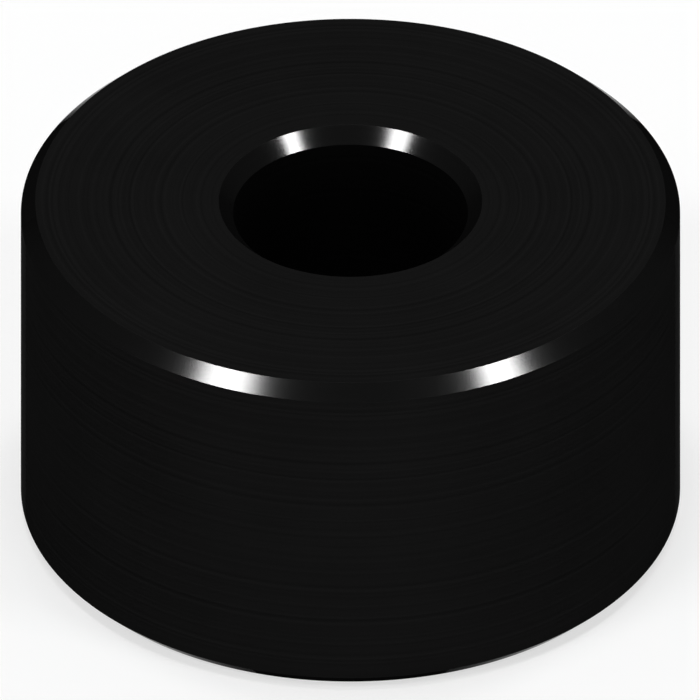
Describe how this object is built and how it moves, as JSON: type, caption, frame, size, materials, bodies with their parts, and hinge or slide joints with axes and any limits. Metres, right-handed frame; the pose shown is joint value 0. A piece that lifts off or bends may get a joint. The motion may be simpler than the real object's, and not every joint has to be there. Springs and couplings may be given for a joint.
{
  "type": "spacer",
  "caption": "Plain round spacer: a short black ring with a through clearance bore and chamfered edges, slipped over a screw to hold parts a set distance apart.",
  "frame": {"origin": "centre of the lower end face, on the bore's axis", "axes": "+Z along the bore's axis, from the lower end face to the upper one; X and Y lie across it, and the part is the same all round"},
  "size_m": [0.018, 0.018, 0.01],
  "materials": {
    "black_anodised": "satin"
  },
  "bodies": {
    "root": {"spacer": "black_anodised"}
  },
  "joints": []
}
